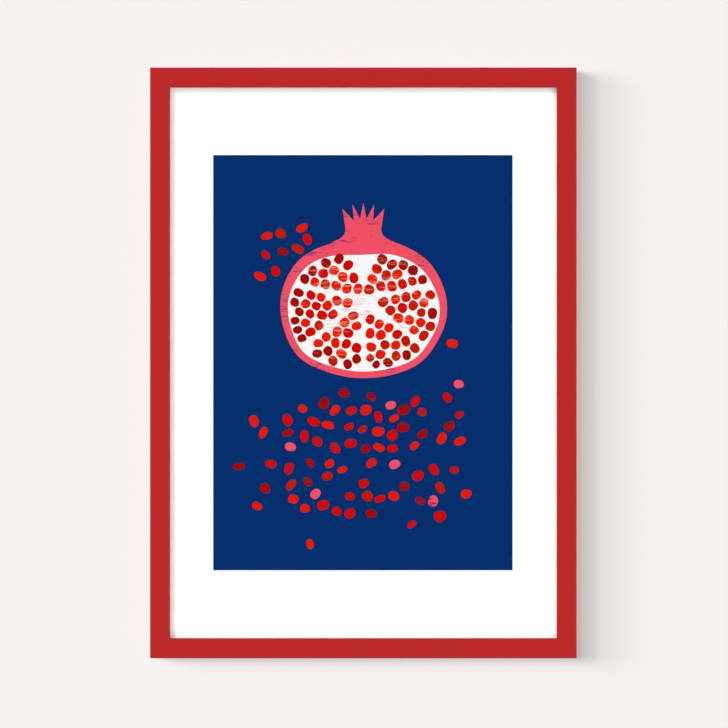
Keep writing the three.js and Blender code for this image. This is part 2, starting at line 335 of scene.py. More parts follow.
def cotton_paper():
    """Uncoated cotton paper: matt and nearly pure white, with a soft tooth and faint clouds of
    pulp. The tooth is drawn coarser than the real half millimetre, so that it can be seen."""
    material, tree, place = new_material("cotton_paper")
    tooth = add(tree, "TexNoise", {"Vector": place, "Scale": per_metre(0.9)[0], "Detail": 4.0})
    pulp = add(tree, "TexNoise", {"Vector": place, "Scale": per_metre(14)[0], "Detail": 3.0})
    white = add(tree, "Mix", {
        "Factor": pulp, "A": hex_colour("#f8f8f5"), "B": hex_colour("#fcfcfb")}, data_type="RGBA")
    relief = add(tree, "Bump", {"Height": tooth, "Distance": 0.03 * MM})
    shader = add(tree, "BsdfPrincipled", {
        "Base Color": white, "Roughness": 0.9, "Specular IOR Level": 0.1, "Normal": relief})
    add(tree, "OutputMaterial", {"Surface": shader})
    return material


paper = welded_copy("art_print")
for vert in paper.verts:
    if vert.co.y < (paper_low.y + paper_high.y) / 2:
        vert.co.y = paper_front
ease_edges(paper, PAPER_ARRIS)
finish_piece(paper, "cotton_paper_sheet", [cotton_paper()], "print_paper",
             stands_for=["art_print"])

# ---------------------------------------------------------------------------------------------
# The print's ground. One panel of navy ink, pulled first, with a wide white margin round it. The
# screen sat half a millimetre to the left of the sheet's middle, as hand-laid sheets do.
# ---------------------------------------------------------------------------------------------
PANEL_WIDTH = 318 * MM
PANEL_HEIGHT = 441 * MM
PANEL_SHIFT = (-0.5 * MM, 0, 0.2 * MM)
NAVY = "#002860"
NAVY_THIN = "#002a63"


def hand_pulled_ink(name, ink, thin, worn=None, dryness=0.0, dust=0.0):
    """Matt water-based ink pulled by hand with a squeegee. Its tone wanders between ink and thin.
    Where it runs dry, the worn colour below shows in streaks a millimetre thick that gather in
    patches, and dust keeps the ink off in round specks. dryness and dust run from 0 to 1."""
    material, tree, place = new_material("hand_pulled_ink_" + name)
    mottle = add(tree, "TexNoise", {"Vector": place, "Scale": per_metre(3)[0], "Detail": 3.0})
    tone = add(tree, "Mix", {
        "Factor": mottle, "A": hex_colour(ink), "B": hex_colour(thin)}, data_type="RGBA")
    if dryness:
        drag_along = add(tree, "Mapping", {"Vector": place, "Scale": per_metre(13, 13, 1.3)})
        drag = add(tree, "TexNoise", {
            "Vector": drag_along, "Scale": 1.0, "Detail": 3.0, "Roughness": 0.65,
            "Distortion": 0.5})
        streak = add(tree, "MapRange", {
            "Value": drag, "From Min": 0.54, "From Max": 0.60, "To Max": 0.9})
        patch_along = add(tree, "Mapping", {"Vector": place, "Scale": per_metre(34, 34, 16)})
        patch = add(tree, "TexNoise", {"Vector": patch_along, "Scale": 1.0, "Detail": 1.0})
        edge = 0.70 - 0.3 * dryness
        where = add(tree, "MapRange", {
            "Value": patch, "From Min": edge, "From Max": edge + 0.06})
        share = add(tree, "Math", {0: streak, 1: where}, operation="MULTIPLY")
        tone = add(tree, "Mix", {
            "Factor": share, "A": tone, "B": hex_colour(worn)}, data_type="RGBA")
    if dust:
        grit = add(tree, "TexVoronoi", {"Vector": place, "Scale": per_metre(4.5)[0]})
        speck = add(tree, "MapRange", {
            "Value": grit, "From Min": 0.20, "From Max": 0.14, "To Max": 0.9})
        drift = add(tree, "TexNoise", {"Vector": place, "Scale": per_metre(24)[0]})
        edge = 0.70 - 0.25 * dust
        where = add(tree, "MapRange", {
            "Value": drift, "From Min": edge, "From Max": edge + 0.05})
        share = add(tree, "Math", {0: speck, 1: where}, operation="MULTIPLY")
        tone = add(tree, "Mix", {
            "Factor": share, "A": tone, "B": hex_colour(worn)}, data_type="RGBA")
    relief = add(tree, "Bump", {"Height": mottle, "Distance": 0.01 * MM})
    shader = add(tree, "BsdfPrincipled", {
        "Base Color": tone, "Roughness": 0.8, "Specular IOR Level": 0.02, "Normal": relief})
    add(tree, "OutputMaterial", {"Surface": shader})
    return material


def print_film(bm, face, level):
    """Thickens a flat outline, drawn in X and Z about the picture's middle, into a film of ink
    that lies on the films of the levels below it."""
    for vert in face.verts:
        vert.co = picture_middle + Vector((vert.co.x, paper_front - level * INK_FILM, vert.co.z))
    grown = bmesh.ops.extrude_face_region(bm, geom=[face], use_keep_orig=True)
    back = [item for item in grown["geom"] if isinstance(item, bmesh.types.BMVert)]
    bmesh.ops.translate(bm, verts=back, vec=(0, INK_FILM, 0))


def finish_ink(bm, name, ink):
    """Makes films of one ink into a piece of the print."""
    bmesh.ops.recalc_face_normals(bm, faces=bm.faces)
    finish_piece(bm, name, [ink], "print_paper")


ground = bmesh.new()
bmesh.ops.create_grid(ground, x_segments=1, y_segments=1, size=0.5,
                      matrix=Matrix.Rotation(math.pi / 2, 4, "X"))
bmesh.ops.scale(ground, verts=ground.verts, vec=(PANEL_WIDTH, 1, PANEL_HEIGHT))
bmesh.ops.translate(ground, verts=ground.verts, vec=PANEL_SHIFT)
print_film(ground, ground.faces[:][0], level=1)
finish_ink(ground, "ink_ground", hand_pulled_ink("navy", NAVY, NAVY_THIN))

# ---------------------------------------------------------------------------------------------
# The fruit's rind. A pomegranate halved from crown to base, drawn as a plump even round with a
# crown of five points on a short neck, in pink ink that shows the navy where it runs dry.
# ---------------------------------------------------------------------------------------------
FRUIT_RISE = 58 * MM
FRUIT_HALF_WIDTH = 88 * MM
FRUIT_HALF_HEIGHT = 74 * MM
PLUMPNESS = 2.2
RIND_WAVER = 0.012
OUTLINE_POINTS = 144
CROWN_POINTS = 5
CROWN_SPREAD = math.radians(16)
CROWN_TIP = 42 * MM
CROWN_NOTCH = 25 * MM
NECK_HALF_WIDTH = 19 * MM
NECK_FLARE = 15 * MM
NECK_HEIGHT = 15 * MM
NECK_SINK = 4 * MM
NECK_STEPS = 6
PINK = "#d24859"
PINK_THIN = "#db495d"
PINK_WORN = "#6b3a5c"


def plump_round(angle, half_x, half_z, waver, plumpness):
    """A point of a rounded outline, fuller than an ellipse where plumpness is over 2. It wavers in
    and out by that share of its size, as a line cut by hand does."""
    cosine, sine = math.cos(angle), math.sin(angle)
    x = math.copysign(abs(cosine) ** (2 / plumpness), cosine) * half_x
    z = math.copysign(abs(sine) ** (2 / plumpness), sine) * half_z
    reach = 1 + waver * (math.sin(5 * angle + 1) + math.sin(8 * angle + 2)) / 2
    return Vector((x * reach, 0, z * reach))


def round_face(bm, points, place):
    """A round face of that many points, each put where place(angle) says."""
    made = bmesh.ops.create_circle(bm, cap_ends=True, segments=points, radius=1)
    for vert in made["verts"]:
        vert.co = place(math.atan2(vert.co.y, vert.co.x))
    return made["verts"][0].link_faces[0]


fruit_middle = Vector((0, 0, FRUIT_RISE))
neck_foot = FRUIT_HALF_HEIGHT - NECK_SINK
crown_line = []
for i in range(NECK_STEPS + 1):
    climb = i / NECK_STEPS
    crown_line.append((NECK_HALF_WIDTH + NECK_FLARE * (1 - climb) ** 3, climb * NECK_HEIGHT))
right_side = [Vector((x, 0, neck_foot + z)) for x, z in crown_line]
left_side = [Vector((-point.x, 0, point.z)) for point in right_side]
tips = []
for i in range(2 * CROWN_POINTS - 1):
    lean = (CROWN_POINTS - 1 - i) / 2 * CROWN_SPREAD
    reach = CROWN_NOTCH if i % 2 else CROWN_TIP
    tips.append(Vector((math.sin(lean) * reach, 0, neck_foot + math.cos(lean) * reach)))
crown_outline = [fruit_middle + point for point in right_side + tips + left_side[::-1]]

rind = bmesh.new()
crown = rind.faces.new([rind.verts.new(point) for point in crown_outline])
print_film(rind, crown, level=2)
print_film(rind, round_face(rind, OUTLINE_POINTS, lambda angle: fruit_middle + plump_round(
    angle, FRUIT_HALF_WIDTH, FRUIT_HALF_HEIGHT, RIND_WAVER, PLUMPNESS)), level=3)
finish_ink(rind, "ink_rind", hand_pulled_ink(
    "pink", PINK, PINK_THIN, PINK_WORN, dryness=0.75, dust=0.6))

# ---------------------------------------------------------------------------------------------
# The pith. White ink over the pink, with a dip below the crown. Its edge and its dry patches let a
# little pink through.
# ---------------------------------------------------------------------------------------------
RIND_SIDE = 8 * MM
RIND_TOP = 12 * MM
RIND_BASE = 7 * MM
PITH_DIP = 6 * MM
DIP_ANGLE = 0.3
PITH_WAVER = 0.016
PITH_WHITE = "#e0dedd"
PITH_THIN = "#dfdcdb"
PITH_WORN = "#cfa9ab"

pith_half_width = FRUIT_HALF_WIDTH - RIND_SIDE
pith_half_height = FRUIT_HALF_HEIGHT - (RIND_TOP + RIND_BASE) / 2
pith_middle = fruit_middle - Vector((0, 0, (RIND_TOP - RIND_BASE) / 2))


def pith_place(angle):
    """A point of the pith's outline, which dips below the crown."""
    dip = PITH_DIP * math.exp(-((angle - math.pi / 2) / DIP_ANGLE) ** 2)
    outline = plump_round(angle, pith_half_width, pith_half_height, PITH_WAVER, PLUMPNESS)
    return pith_middle + outline - Vector((0, 0, dip))


pith = bmesh.new()
print_film(pith, round_face(pith, OUTLINE_POINTS, pith_place), level=4)
finish_ink(pith, "ink_pith", hand_pulled_ink(
    "white", PITH_WHITE, PITH_THIN, PITH_WORN, dryness=0.55))

# ---------------------------------------------------------------------------------------------
# The arils, the fruit's juicy seeds, in four red inks. They are packed into six chambers, the same
# on both sides, that white membranes divide. The darker inks lie near the rind.
# ---------------------------------------------------------------------------------------------
MEMBRANE = 3.2 * MM
MEMBRANE_ANGLES = [math.radians(a) for a in (-102, -52, 0, 52, 102)]
BARE_ANGLE = math.radians(156)
HUB_RISE = 12 * MM
HUB_CLEAR = 9 * MM
RIM_CLEAR = 1 * MM
RIM_BAND = 15 * MM
ARIL_PITCH = 11.2 * MM
ARIL_GAP = 0.6 * MM
ARIL_LARGEST = 6.5 * MM
ARIL_SWELL = 1.04
ARIL_POINTS = 18
ARIL_THROWS = 9000
THROWN_APART = 0.75
SETTLED_APART = 1.05
SETTLE_ROUNDS = 300
SETTLE_PUSH = 0.25
SEED_WAVER = 0.05
SEED_PLUMPNESS = 2.3
REDS = {
    # fresh ink, thin ink, and ink worn down to the white
    "garnet": ("#8e0400", "#970600", "#b9564c"),
    "brick": ("#a81400", "#b21802", "#cd6a58"),
    "crimson": ("#b60200", "#bf0600", "#d45c50"),
    "scarlet": ("#c61400", "#cf1a02", "#e27a62"),
}
RIM_REDS = ["garnet", "garnet", "brick"]
INNER_REDS = ["crimson", "crimson", "scarlet", "scarlet", "scarlet", "brick"]

draw = random.Random(5)
hub = pith_middle + Vector((0, 0, HUB_RISE))


def rim_share(point, inset):
    """1 on the outline that runs inset inside the pith's edge, less inside it, more outside."""
    from_middle = point - pith_middle
    return ((abs(from_middle.x) / (pith_half_width - inset)) ** PLUMPNESS
            + (abs(from_middle.z) / (pith_half_height - inset)) ** PLUMPNESS)


def has_room(point, half):
    """True where an aril of that half size clears the rim, the membranes, the hub and the bare
    pith below the crown."""
    arm = point - hub
    if rim_share(point, RIM_CLEAR + half) > 1 or arm.length < HUB_CLEAR:
        return False
    if abs(math.atan2(arm.x, -arm.z)) > BARE_ANGLE:
        return False
    for angle in MEMBRANE_ANGLES:
        way = Vector((math.sin(angle), 0, -math.cos(angle)))
        along = arm.dot(way)
        if along > 0 and (arm - way * along).length < MEMBRANE / 2 + half:
            return False
    return True


def seed_face(bm, points, middle, half_long, half_short, turn):
    """A round seed's outline. Its long way is turned from X, and no two are quite alike."""
    spin = Matrix.Rotation(turn, 3, "Y")
    phase = draw.uniform(0, 2 * math.pi)

    def place(angle):
        swell = 1 + SEED_WAVER * (math.sin(2 * angle + phase) + math.sin(3 * angle - phase) / 2)
        outline = plump_round(angle, half_long, half_short, 0, SEED_PLUMPNESS)
        return middle + spin @ outline * swell
    return round_face(bm, points, place)


# thrown in at random, and then left to push each other apart until they lie evenly
seeds = []
for _ in range(ARIL_THROWS):
    seed = pith_middle + Vector((draw.uniform(-1, 1) * pith_half_width, 0,
                                 draw.uniform(-1, 1) * pith_half_height))
    if has_room(seed, ARIL_PITCH / 2) and all(
            (seed - other).length > THROWN_APART * ARIL_PITCH for other in seeds):
        seeds.append(seed)
for _ in range(SETTLE_ROUNDS):
    for i, seed in enumerate(seeds):
        push = Vector()
        for other in seeds:
            away = seed - other
            if 0 < away.length < SETTLED_APART * ARIL_PITCH:
                overlap = SETTLED_APART * ARIL_PITCH - away.length
                push += away.normalized() * overlap * SETTLE_PUSH
        if has_room(seed + push, ARIL_PITCH / 2):
            seeds[i] = seed + push

# each swells until it nearly meets its nearest neighbour, and is longer across than towards it
aril_meshes = {red: bmesh.new() for red in REDS}
for seed in seeds:
    nearest = min((other for other in seeds if other is not seed),
                  key=lambda other: (other - seed).length)
    towards = nearest - seed
    half = min((towards.length - ARIL_GAP) / 2, ARIL_LARGEST) / ARIL_SWELL
    near_rim = rim_share(seed, RIM_BAND) > 1
    red = draw.choice(RIM_REDS if near_rim else INNER_REDS)
    across = math.atan2(-towards.z, towards.x) + math.pi / 2
    mesh = aril_meshes[red]
    print_film(mesh, seed_face(mesh, ARIL_POINTS, seed, half * draw.uniform(1.0, 1.1),
                               half * draw.uniform(0.9, 1.0), across), level=5)
for red, mesh in aril_meshes.items():
    ink, thin, worn = REDS[red]
    finish_ink(mesh, "ink_arils_" + red, hand_pulled_ink(
        red + "_on_white", ink, thin, worn, dryness=0.7))

# ---------------------------------------------------------------------------------------------
# The loose seeds. They tumble out below the fruit and a few fly up beside it, in the four reds and
# in the rind's pink, straight on the navy.
# ---------------------------------------------------------------------------------------------
SEED_HALF_LONG = 6.1 * MM
SEED_HALF_SHORT = 4.5 * MM
SEED_DISTANCE = 13.2 * MM
SEED_MARGIN = 12 * MM
SEED_POINTS = 16
SEED_SIZES = (0.82, 1.12)
SEED_SHAPES = (0.85, 1.15)
SEED_TURN = 0.7
SEED_WORN = "#5a2440"
CLUSTER_THROWS = 900
CLUSTER_SIGMAS = 1.5
FRUIT_CLEAR = 9.5 * MM
SEED_CLUSTERS = (
    # x and z of the middle, spread in x and z, in millimetres, and how many seeds
    (-54, -108, 46, 34, 28),
    (46, -72, 34, 20, 16),
    (-8, -62, 50, 16, 12),
    (66, -124, 44, 26, 12),
    (-80, 124, 24, 20, 9),
    (0, -152, 70, 18, 6),
    (100, 0, 12, 44, 3),
)
SEED_INKS = ["crimson"] * 9 + ["scarlet"] * 8 + ["garnet"] * 4 + ["brick"] * 4 + ["pink"] * 3

seed_meshes = {ink: bmesh.new() for ink in [*REDS, "pink"]}
placed = []


def is_free(x, z):
    """True on bare ground that is far enough from the fruit, its crown and the other seeds."""
    if abs(x) > PANEL_WIDTH / 2 - SEED_MARGIN or abs(z) > PANEL_HEIGHT / 2 - SEED_MARGIN:
        return False
    across = abs(x) / (FRUIT_HALF_WIDTH + FRUIT_CLEAR)
    up = abs(z - FRUIT_RISE) / (FRUIT_HALF_HEIGHT + FRUIT_CLEAR)
    if across ** PLUMPNESS + up ** PLUMPNESS < 1:
        return False
    if abs(x) < NECK_HALF_WIDTH + 2 * FRUIT_CLEAR and z > FRUIT_RISE:
        return False
    return all(math.hypot(x - a, z - b) > SEED_DISTANCE for a, b in placed)


for middle_x, middle_up, spread_x, spread_z, count in SEED_CLUSTERS:
    wanted = len(placed) + count
    for _ in range(CLUSTER_THROWS):
        if len(placed) == wanted:
            break
        x = draw.gauss(middle_x, spread_x / CLUSTER_SIGMAS) * MM
        z = draw.gauss(middle_up, spread_z / CLUSTER_SIGMAS) * MM
        if not is_free(x, z):
            continue
        placed.append((x, z))
        ink = draw.choice(SEED_INKS)
        size = draw.uniform(*SEED_SIZES)
        mesh = seed_meshes[ink]
        print_film(mesh, seed_face(
            mesh, SEED_POINTS, Vector((x, 0, z)), SEED_HALF_LONG * size,
            SEED_HALF_SHORT * size * draw.uniform(*SEED_SHAPES), draw.gauss(0, SEED_TURN)),
            level=2)
for name, mesh in seed_meshes.items():
    ink, thin = (PINK, PINK_THIN) if name == "pink" else REDS[name][:2]
    finish_ink(mesh, "ink_loose_seeds_" + name, hand_pulled_ink(
        name + "_on_navy", ink, thin, SEED_WORN, dryness=0.35, dust=0.3))

# ---------------------------------------------------------------------------------------------
# The boards. White barrier card keeps the print from the brown fibreboard that closes the back.
# Both are cut to the print's size. The fibreboard's face is pressed smooth and lightly soiled.
# ---------------------------------------------------------------------------------------------
CARD_ARRIS = 0.1 * MM
BOARD_ARRIS = 0.3 * MM


def barrier_card():
    """Buffered white card: matt off-white, with a few specks of fibre."""
    material, tree, place = new_material("barrier_card")
    fibre = add(tree, "TexNoise", {"Vector": place, "Scale": per_metre(1.5)[0], "Detail": 5.0})
    tone = add(tree, "Mix", {
        "Factor": fibre, "A": hex_colour("#e2dfd6"), "B": hex_colour("#f0ede6")}, data_type="RGBA")
    relief = add(tree, "Bump", {"Height": fibre, "Distance": 0.02 * MM})
    shader = add(tree, "BsdfPrincipled", {
        "Base Color": tone, "Roughness": 0.88, "Specular IOR Level": 0.2, "Normal": relief})
    add(tree, "OutputMaterial", {"Surface": shader})
    return material


def brown_fibreboard():
    """Medium-density fibreboard: warm brown and nearly smooth. Wood fibres felt together in every
    direction in two tones, with pale shives, and a sanded face with a dull gloss. The fibres are
    drawn several times their real size, so that they can be seen."""
    material, tree, place = new_material("brown_fibreboard")
    felt = add(tree, "TexNoise", {
        "Vector": place, "Scale": per_metre(3.5)[0], "Detail": 8.0, "Roughness": 0.7,
        "Distortion": 1.2})
    cloud = add(tree, "TexNoise", {"Vector": place, "Scale": per_metre(60)[0], "Detail": 2.0})
    shive_along = add(tree, "Mapping", {"Vector": place, "Scale": per_metre(5, 5, 1.2)})
    shive = add(tree, "TexNoise", {"Vector": shive_along, "Scale": 1.0, "Distortion": 2.0})
    weight = add(tree, "MapRange", {"Value": felt, "From Min": 0.35, "From Max": 0.65})
    tone = add(tree, "Mix", {
        "Factor": weight, "A": hex_colour("#7d5a3c"), "B": hex_colour("#98744f")},
        data_type="RGBA")
    tone = add(tree, "Mix", {
        "Factor": cloud, "A": tone, "B": hex_colour("#8c6846")}, data_type="RGBA")
    pale = add(tree, "MapRange", {
        "Value": shive, "From Min": 0.68, "From Max": 0.74, "To Max": 0.5})
    tone = add(tree, "Mix", {
        "Factor": pale, "A": tone, "B": hex_colour("#c2a077")}, data_type="RGBA")
    rough = add(tree, "MapRange", {"Value": felt, "To Min": 0.5, "To Max": 0.72})
    relief = add(tree, "Bump", {"Height": felt, "Distance": 0.05 * MM})
    shader = add(tree, "BsdfPrincipled", {
        "Base Color": tone, "Roughness": rough, "Specular IOR Level": 0.35, "Normal": relief})
    add(tree, "OutputMaterial", {"Surface": shader})
    return material


for node, arris, slot, material in (
    ("barrier_board", CARD_ARRIS, "barrier_card", barrier_card()),
    ("backing_board", BOARD_ARRIS, "fibreboard", brown_fibreboard()),
):
    board = welded_copy(node)
    ease_edges(board, arris)
    finish_piece(board, "cut_" + node, [material], slot, stands_for=[node])

# ---------------------------------------------------------------------------------------------
# The flexible tabs. Stamped from the same rolled steel strip as the V-nails and shot flat into the
# rebate's wall over the backing board. They bend up by hand to let the boards out.
# ---------------------------------------------------------------------------------------------
TAB_ARRIS = 0.12 * MM

for node in sorted(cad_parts):
    if node.startswith("tab_"):
        tab = welded_copy(node)
        ease_edges(tab, TAB_ARRIS)
        finish_piece(tab, "steel_" + node, [steel], "spring_steel", stands_for=[node])

# ---------------------------------------------------------------------------------------------
# The strap hangers. A zinc-plated steel strip, folded round the ring's bar and pressed flat on
# itself, with a screw through both layers into the side rail.
# ---------------------------------------------------------------------------------------------
STRAP_ARRIS = 0.2 * MM


def bright_zinc_plate():
    """Bright zinc plating on pressed steel: a cool silver with a faint blue cast, cloudy spangle
    and fine handling scratches in its gloss."""
    material, tree, place = new_material("bright_zinc_plate")
    spangle = add(tree, "TexVoronoi", {"Vector": place, "Scale": per_metre(1.6)[0]})
    cloud = add(tree, "TexNoise", {"Vector": place, "Scale": per_metre(5)[0], "Detail": 4.0})
    scratch_along = add(tree, "Mapping", {"Vector": place, "Scale": per_metre(0.15, 0.15, 4)})
    scratch = add(tree, "TexNoise", {"Vector": scratch_along, "Scale": 1.0, "Detail": 4.0})
    metal = add(tree, "Mix", {
        "Factor": cloud, "A": hex_colour("#b9bec4"), "B": hex_colour("#d9dbdc")},
        data_type="RGBA")
    metal = add(tree, "Mix", {
        "Factor": spangle, "A": metal, "B": hex_colour("#c9cfd6")}, data_type="RGBA")
    rough = add(tree, "MapRange", {
        "Value": scratch, "From Min": 0.35, "From Max": 0.7, "To Min": 0.2, "To Max": 0.42})
    relief = add(tree, "Bump", {"Height": scratch, "Distance": 0.006 * MM})
    shader = add(tree, "BsdfPrincipled", {
        "Base Color": metal, "Metallic": 1.0, "Roughness": rough, "Normal": relief})
    add(tree, "OutputMaterial", {"Surface": shader})
    return material


zinc = bright_zinc_plate()
for side in ("left", "right"):
    strap = welded_copy("hanger_strap_" + side)
    ease_edges(strap, STRAP_ARRIS, least_angle=40)
    finish_piece(strap, "zinc_strap_" + side, [zinc], "plated_steel",
                 stands_for=["hanger_strap_" + side])

# ---------------------------------------------------------------------------------------------
# The D-rings. Each is bent from 2 mm zinc-plated wire. Its straight bar turns in the strap's eye.
# ---------------------------------------------------------------------------------------------
RING_WIRE = 2 * MM
RING_CORNER = 1.6 * MM
RING_SIDE = 3.4 * MM
WIRE_POINTS = 20
CORNER_STEPS = 6
BOW_STEPS = 28
WIRE_SEAM = 0.01 * MM

for side in ("left", "right"):
    low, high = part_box("hanger_ring_" + side)
    axis = Vector(((low.x + high.x) / 2, (low.y + high.y) / 2, high.z - RING_WIRE / 2))
    half = (high.x - low.x - RING_WIRE) / 2
    ring = bmesh.new()
    section = bmesh.ops.create_circle(ring, segments=WIRE_POINTS, radius=RING_WIRE / 2,
                                      matrix=Matrix.Translation(axis)
                                      @ Matrix.Rotation(math.pi / 2, 4, "Y"))
    edges = list({edge for vert in section["verts"] for edge in vert.link_edges})
    bar = half - RING_CORNER
    for step, turn, centre in (
        # a straight length, or a bend as its angle and steps and the point it turns about
        (Vector((bar, 0, 0)), None, None),
        (None, (math.pi / 2, CORNER_STEPS), Vector((bar, 0, -RING_CORNER))),
        (Vector((0, 0, -RING_SIDE)), None, None),
        (None, (math.pi, BOW_STEPS), Vector((0, 0, -RING_CORNER - RING_SIDE))),
        (Vector((0, 0, RING_SIDE)), None, None),
        (None, (math.pi / 2, CORNER_STEPS), Vector((-bar, 0, -RING_CORNER))),
        (Vector((bar, 0, 0)), None, None),
    ):
        if turn:
            swept = bmesh.ops.spin(ring, geom=edges, cent=axis + centre, axis=(0, 1, 0),
                                   angle=turn[0], steps=turn[1], use_duplicate=False)
            end = swept["geom_last"]
        else:
            end = bmesh.ops.extrude_edge_only(ring, edges=edges)["geom"]
            moved = [item for item in end if isinstance(item, bmesh.types.BMVert)]
            bmesh.ops.translate(ring, verts=moved, vec=step)
        edges = [item for item in end if isinstance(item, bmesh.types.BMEdge)]
    bmesh.ops.remove_doubles(ring, verts=ring.verts, dist=WIRE_SEAM)
    bmesh.ops.recalc_face_normals(ring, faces=ring.faces)
    finish_piece(ring, "d_ring_" + side, [zinc], "plated_steel", body="hanging_ring_" + side,
                 stands_for=["hanger_ring_" + side])

# ---------------------------------------------------------------------------------------------
# The screws. Zinc-plated pan-head wood screws with a cross recess, driven through the straps.
# ---------------------------------------------------------------------------------------------
SCREW_SHANK = 3 * MM
SCREW_TAPER = 3 * MM
SCREW_THREAD = 1.1 * MM
THREAD_DEPTH = 0.35 * MM
THREAD_STOP = 2 * MM
HEAD_HEIGHT = 1.9 * MM
HEAD_RIM = 0.7 * MM
HEAD_CHAMFER = 0.15 * MM
DOME_STEPS = 6
SPIN_STEPS = 32
RECESS_WIDTH = 0.7 * MM
RECESS_LENGTH = 3.2 * MM
RECESS_DEPTH = 1.1 * MM
RECESS_RISE = 0.6

for side in ("left", "right"):
    low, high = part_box("hanger_screw_" + side)
    centre_x, centre_z = (low.x + high.x) / 2, (low.z + high.z) / 2
    head_radius = (high.x - low.x) / 2
    seat = high.y - HEAD_HEIGHT
    profile = [(0, low.y), (SCREW_SHANK / 2 - THREAD_DEPTH, low.y + SCREW_TAPER)]
    thread = low.y + SCREW_TAPER
    while thread + SCREW_THREAD < seat - THREAD_STOP:
        profile.append((SCREW_SHANK / 2, thread + SCREW_THREAD / 2))
        profile.append((SCREW_SHANK / 2 - THREAD_DEPTH, thread + SCREW_THREAD))
        thread += SCREW_THREAD
    profile += [(SCREW_SHANK / 2, thread + SCREW_THREAD), (SCREW_SHANK / 2, seat),
                (head_radius - HEAD_CHAMFER, seat), (head_radius, seat + HEAD_CHAMFER),
                (head_radius, seat + HEAD_RIM)]
    for i in range(1, DOME_STEPS + 1):
        turn = i / DOME_STEPS * math.pi / 2
        profile.append((head_radius * math.cos(turn) if i < DOME_STEPS else 0,
                        seat + HEAD_RIM + (HEAD_HEIGHT - HEAD_RIM) * math.sin(turn)))
    screw = bmesh.new()
    points = [screw.verts.new((centre_x + x, y, centre_z)) for x, y in profile]
    line = [screw.edges.new(pair) for pair in zip(points, points[1:])]
    bmesh.ops.spin(screw, geom=points + line, cent=(centre_x, 0, centre_z), axis=(0, 1, 0),
                   angle=2 * math.pi, steps=SPIN_STEPS, use_merge=True)
    bmesh.ops.remove_doubles(screw, verts=screw.verts, dist=WELD)
    # the dome is cut along the recess's sides, and what lies inside the cross is sunk
    for way, centre in ((Vector((1, 0, 0)), centre_x), (Vector((0, 0, 1)), centre_z)):
        for offset in (RECESS_WIDTH / 2, -RECESS_WIDTH / 2, RECESS_LENGTH / 2, -RECESS_LENGTH / 2):
            head = [face for face in screw.faces if face.calc_center_median().y > seat + HEAD_RIM]
            whole = {item for face in head for item in (face, *face.edges, *face.verts)}
            bmesh.ops.bisect_plane(screw, geom=list(whole), dist=WELD,
                                   plane_co=way * (centre + offset), plane_no=way)
    cross = []
    for face in screw.faces:
        middle = face.calc_center_median()
        arm_x, arm_z = abs(middle.x - centre_x), abs(middle.z - centre_z)
        if (middle.y > seat + HEAD_RIM and min(arm_x, arm_z) < RECESS_WIDTH / 2
                and max(arm_x, arm_z) < RECESS_LENGTH / 2):
            cross.append(face)
    sunk = bmesh.ops.extrude_face_region(screw, geom=cross)
    floor_verts = [item for item in sunk["geom"] if isinstance(item, bmesh.types.BMVert)]
    bmesh.ops.delete(screw, geom=cross, context="FACES")
    for vert in floor_verts:
        out = math.hypot(vert.co.x - centre_x, vert.co.z - centre_z) / (RECESS_LENGTH / 2)
        vert.co.y -= RECESS_DEPTH * (1 - RECESS_RISE * min(1, out))
    bmesh.ops.recalc_face_normals(screw, faces=screw.faces)
    finish_piece(screw, "pan_head_screw_" + side, [zinc], "plated_steel",
                 stands_for=["hanger_screw_" + side])

# ---------------------------------------------------------------------------------------------
# The bumpers. Round polyurethane pads, cast with a soft rim and stuck on the bottom rail. They keep
# the frame off the wall and stop it from sliding.
# ---------------------------------------------------------------------------------------------
BUMPER_RIM = 0.9 * MM
RIM_STEPS = 6
CAST_DIMPLE = 0.12 * MM
DIMPLE_SHARE = 0.45
CAST_STEPS = 48


def cast_polyurethane():
    """Cast polyurethane: milky and slightly see-through, with a soft gloss and settled dust."""
    material, tree, place = new_material("cast_polyurethane")
    milk = add(tree, "TexNoise", {"Vector": place, "Scale": per_metre(4)[0], "Detail": 3.0})
    lint = add(tree, "TexNoise", {"Vector": place, "Scale": per_metre(0.6)[0], "Detail": 4.0})
    tone = add(tree, "Mix", {
        "Factor": milk, "A": hex_colour("#cfd2cc"), "B": hex_colour("#dddfd9")}, data_type="RGBA")
    rough = add(tree, "MapRange", {
        "Value": lint, "From Min": 0.4, "From Max": 0.65, "To Min": 0.28, "To Max": 0.5})
    shader = add(tree, "BsdfPrincipled", {
        "Base Color": tone, "Roughness": rough, "IOR": 1.5, "Subsurface Weight": 0.35,
        "Subsurface Radius": (1.0, 1.0, 0.9), "Subsurface Scale": 1.5 * MM})
    add(tree, "OutputMaterial", {"Surface": shader})
    return material


milky = cast_polyurethane()
for side in ("left", "right"):
    low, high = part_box("bumper_" + side)
    centre_x, centre_z = (low.x + high.x) / 2, (low.z + high.z) / 2
    radius = (high.x - low.x) / 2
    profile = [(0, low.y), (radius, low.y)]
    for i in range(RIM_STEPS + 1):
        turn = i / RIM_STEPS * math.pi / 2
        profile.append((radius - BUMPER_RIM * (1 - math.cos(turn)),
                        high.y - BUMPER_RIM * (1 - math.sin(turn))))
    profile += [(radius * DIMPLE_SHARE, high.y), (0, high.y - CAST_DIMPLE)]
    pad = bmesh.new()
    points = [pad.verts.new((centre_x + x, y, centre_z)) for x, y in profile]
    line = [pad.edges.new(pair) for pair in zip(points, points[1:])]
    bmesh.ops.spin(pad, geom=points + line, cent=(centre_x, 0, centre_z), axis=(0, 1, 0),
                   angle=2 * math.pi, steps=CAST_STEPS, use_merge=True)
    bmesh.ops.remove_doubles(pad, verts=pad.verts, dist=WELD)
    bmesh.ops.recalc_face_normals(pad, faces=pad.faces)
    finish_piece(pad, "wall_bumper_" + side, [milky], "bumper_rubber",
                 stands_for=["bumper_" + side])

